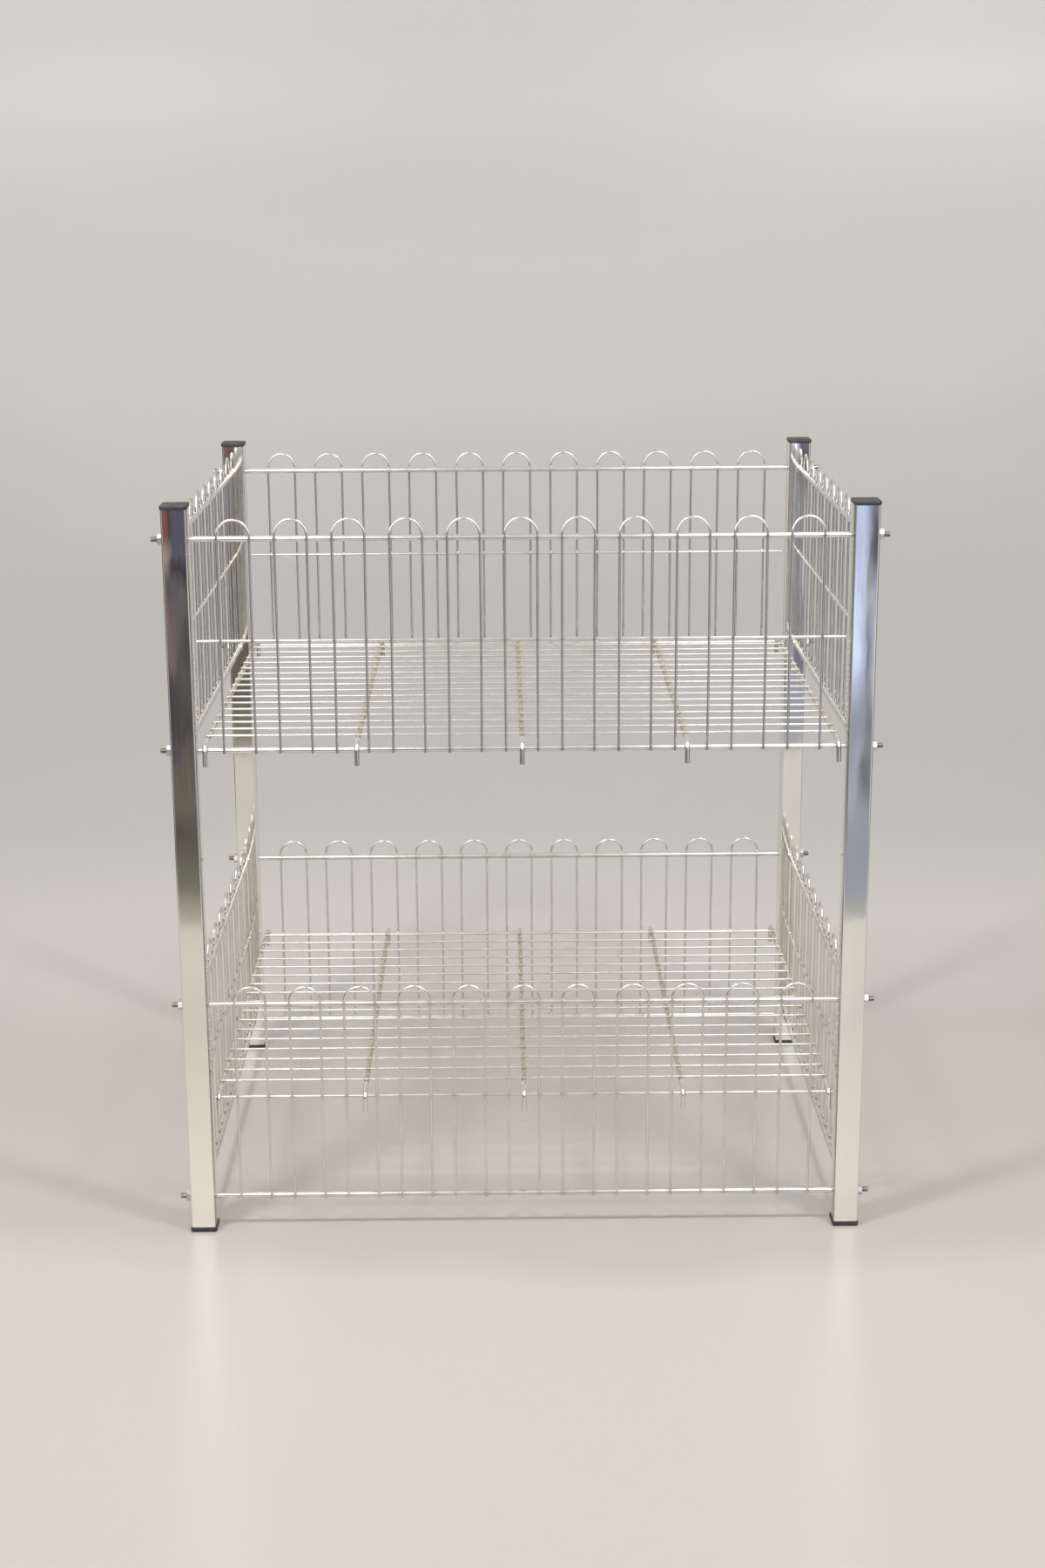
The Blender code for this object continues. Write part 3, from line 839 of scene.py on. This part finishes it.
def make_room():
    """What the chrome mirrors past the pale floor: brown things on the left, pale blue ones on the right."""
    profile = [(ROOM_RADIUS, 0.0), (ROOM_RADIUS, ROOM_BREAK), (ROOM_RADIUS, ROOM_TOP)]
    wall = turned(profile, math.radians(ROOM_WALL_FROM), math.radians(ROOM_WALL_TURN), 60)
    cards = [stage_object("room_wall", *wall, room_wall_looks())]
    floor = room_floor_looks()
    for name, start, end, edge in (
        ("room_floor_front", -41.5, 41.5, lambda x, y: (x, -ROOM_NEAR)),
        ("room_floor_left", -ROOM_TURN, -46.8, lambda x, y: (-ROOM_SIDE, y)),
        ("room_floor_right", 46.8, ROOM_TURN, lambda x, y: (ROOM_SIDE, y)),
    ):
        points, faces = [], []
        for i in range(ROOM_FLOOR_STEPS + 1):
            angle = math.radians(start + (end - start) * i / ROOM_FLOOR_STEPS)
            x, y = ROOM_FLOOR_RADIUS * math.sin(angle), -ROOM_FLOOR_RADIUS * math.cos(angle)
            points += [(x, y, ROOM_FLOOR_LIFT), (*edge(x, y), ROOM_FLOOR_LIFT)]
        for i in range(ROOM_FLOOR_STEPS):
            faces.append((2 * i, 2 * i + 1, 2 * i + 3, 2 * i + 2))
        cards.append(stage_object(name, points, faces, floor))
    ceiling = turned([(0.001, CEILING), (1.0, CEILING), (CEILING_RADIUS, CEILING)], steps=48)
    cards.append(stage_object("room_ceiling", *ceiling, ceiling_looks()))
    for card in cards:
        unseen_but_reflected(card)


def paper_looks():
    """Pale paper with painted light and shade: its tone is painted darker and lighter from the front of the
    floor to the top of the backdrop, and lighter at the front of the floor.
    """
    s = Shader("paper_sweep_painted_light")
    cloudy = s.spread(s.noise(1.1, 3.0, (0.8, 0.8, 1.6)), 0.3, 0.7, 0.0, 0.05)
    back = s.spread(s.axis("Y"), -0.5, SWEEP_TOP, 0.0, 0.8)
    place = s.math("ADD", back, s.spread(s.axis("Z"), 0.45, 1.6, 0.0, 0.2))
    # Painted light and shade: these darker and lighter bands along the floor and up the backdrop stand in for
    # how the light falls there.
    painted_paper_tone = s.ramp(
        s.math("ADD", place, s.math("SUBTRACT", cloudy, 0.025)),
        [
            (0.02, (0.618, 0.595, 0.560)),
            (0.035, (0.615, 0.591, 0.556)),
            (0.05, (0.540, 0.519, 0.487)),
            (0.10, (0.572, 0.551, 0.516)),
            (0.16, (0.551, 0.531, 0.502)),
            (0.26, (0.675, 0.655, 0.628)),
            (0.36, (0.610, 0.598, 0.580)),
            (0.44, (0.636, 0.625, 0.608)),
            (0.64, (0.650, 0.640, 0.627)),
            (0.75, (0.765, 0.752, 0.741)),
            (0.86, (0.790, 0.780, 0.773)),
            (0.95, (0.735, 0.730, 0.728)),
        ],
    )
    # Painted light: the front of the floor is painted lighter, as a pool of lamp light.
    painted_paper_tone = s.mix(s.spread(s.axis("Y"), -0.90, -1.15, 0.0, 1.0), painted_paper_tone, (0.70, 0.685, 0.635, 1))
    s.put(s.main.inputs["Base Color"], painted_paper_tone)
    s.put(s.main.inputs["Roughness"], s.spread(s.noise(2.0, 2.0), 0.0, 1.0, 0.26, 0.34))
    return s.material


def make_sweep():
    """Paper floor that bends up into a backdrop on all sides."""
    bend = arc((SWEEP_FLAT, SWEEP_BEND), SWEEP_BEND, -QUARTER, QUARTER, 16)
    profile = [(0.001, 0), (0.5, 0), (1.2, 0), *bend, (SWEEP_TOP, 2.4), (SWEEP_TOP, SWEEP_TOP)]
    stage_object("sweep", *turned(profile), paper_looks())


def make_lights():
    """Two small soft lamps high in front, and an even white room."""
    for name, (x, power, colour) in LAMPS.items():
        data = bpy.data.lights.new(name, "AREA")
        data.shape = "RECTANGLE"
        data.size = LAMP_SIZE
        data.size_y = LAMP_SIZE
        data.energy = power
        data.color = colour
        lamp = bpy.data.objects.new(name, data)
        lamp.location = (x, LAMP_Y, LAMP_Z)
        lamp.rotation_euler = (Vector(LAMP_AIM) - lamp.location).to_track_quat("-Z", "Y").to_euler()
        bpy.context.collection.objects.link(lamp)

    world = bpy.data.worlds.new("soft_room")
    world.use_nodes = True
    background = world.node_tree.nodes["Background"]
    background.inputs["Color"].default_value = (1.0, 0.985, 0.965, 1)
    background.inputs["Strength"].default_value = 0.86
    bpy.context.scene.world = world


def make_camera():
    """Camera at the photograph's place, worked out from the stand's own corners."""
    roll, pitch, yaw = (math.radians(angle) for angle in CAMERA_TURN)
    turn = Matrix.Rotation(yaw, 3, "Z") @ Matrix.Rotation(pitch, 3, "X") @ Matrix.Rotation(roll, 3, "Y")
    axes = turn @ Matrix(((1, 0, 0), (0, 0, -1), (0, 1, 0)))
    data = bpy.data.cameras.new("photo_camera")
    data.sensor_fit = "VERTICAL"
    data.sensor_height = CAMERA_SENSOR
    data.sensor_width = CAMERA_SENSOR
    data.lens = CAMERA_LENS
    data.clip_end = 50
    camera = bpy.data.objects.new("photo_camera", data)
    camera.matrix_world = Matrix.Translation(CAMERA_PLACE) @ axes.to_4x4()
    bpy.context.collection.objects.link(camera)
    bpy.context.scene.camera = camera


def main():
    make_camera()
    make_sweep()
    make_room()
    make_lights()
    make_posts(tube_looks(), plastic_looks())
    make_nuts(zinc_looks())
    panel_wire = wire_looks(
        "chrome_wire_looks",
        bright=(0.78, 0.77, 0.745),
        dull=(0.67, 0.655, 0.62),
        tint=(0.42, 0.36, 0.27),
        spots_from=0.64,
        rough=(0.05, 0.14),
        heating=(0.1, 0.5),
    )
    shelf_wire = wire_looks(
        "shelf_wire_looks",
        bright=(0.83, 0.82, 0.795),
        dull=(0.71, 0.69, 0.64),
        tint=(0.46, 0.42, 0.315),
        spots_from=0.57,
        rough=(0.07, 0.18),
        heating=(0.4, 0.9),
    )
    for tier in TIERS:
        for side in HOOPS:
            make_panel(tier, side, panel_wire)
        make_shelf(tier, shelf_wire)
    bpy.context.scene.view_settings.view_transform = "Standard"


main()
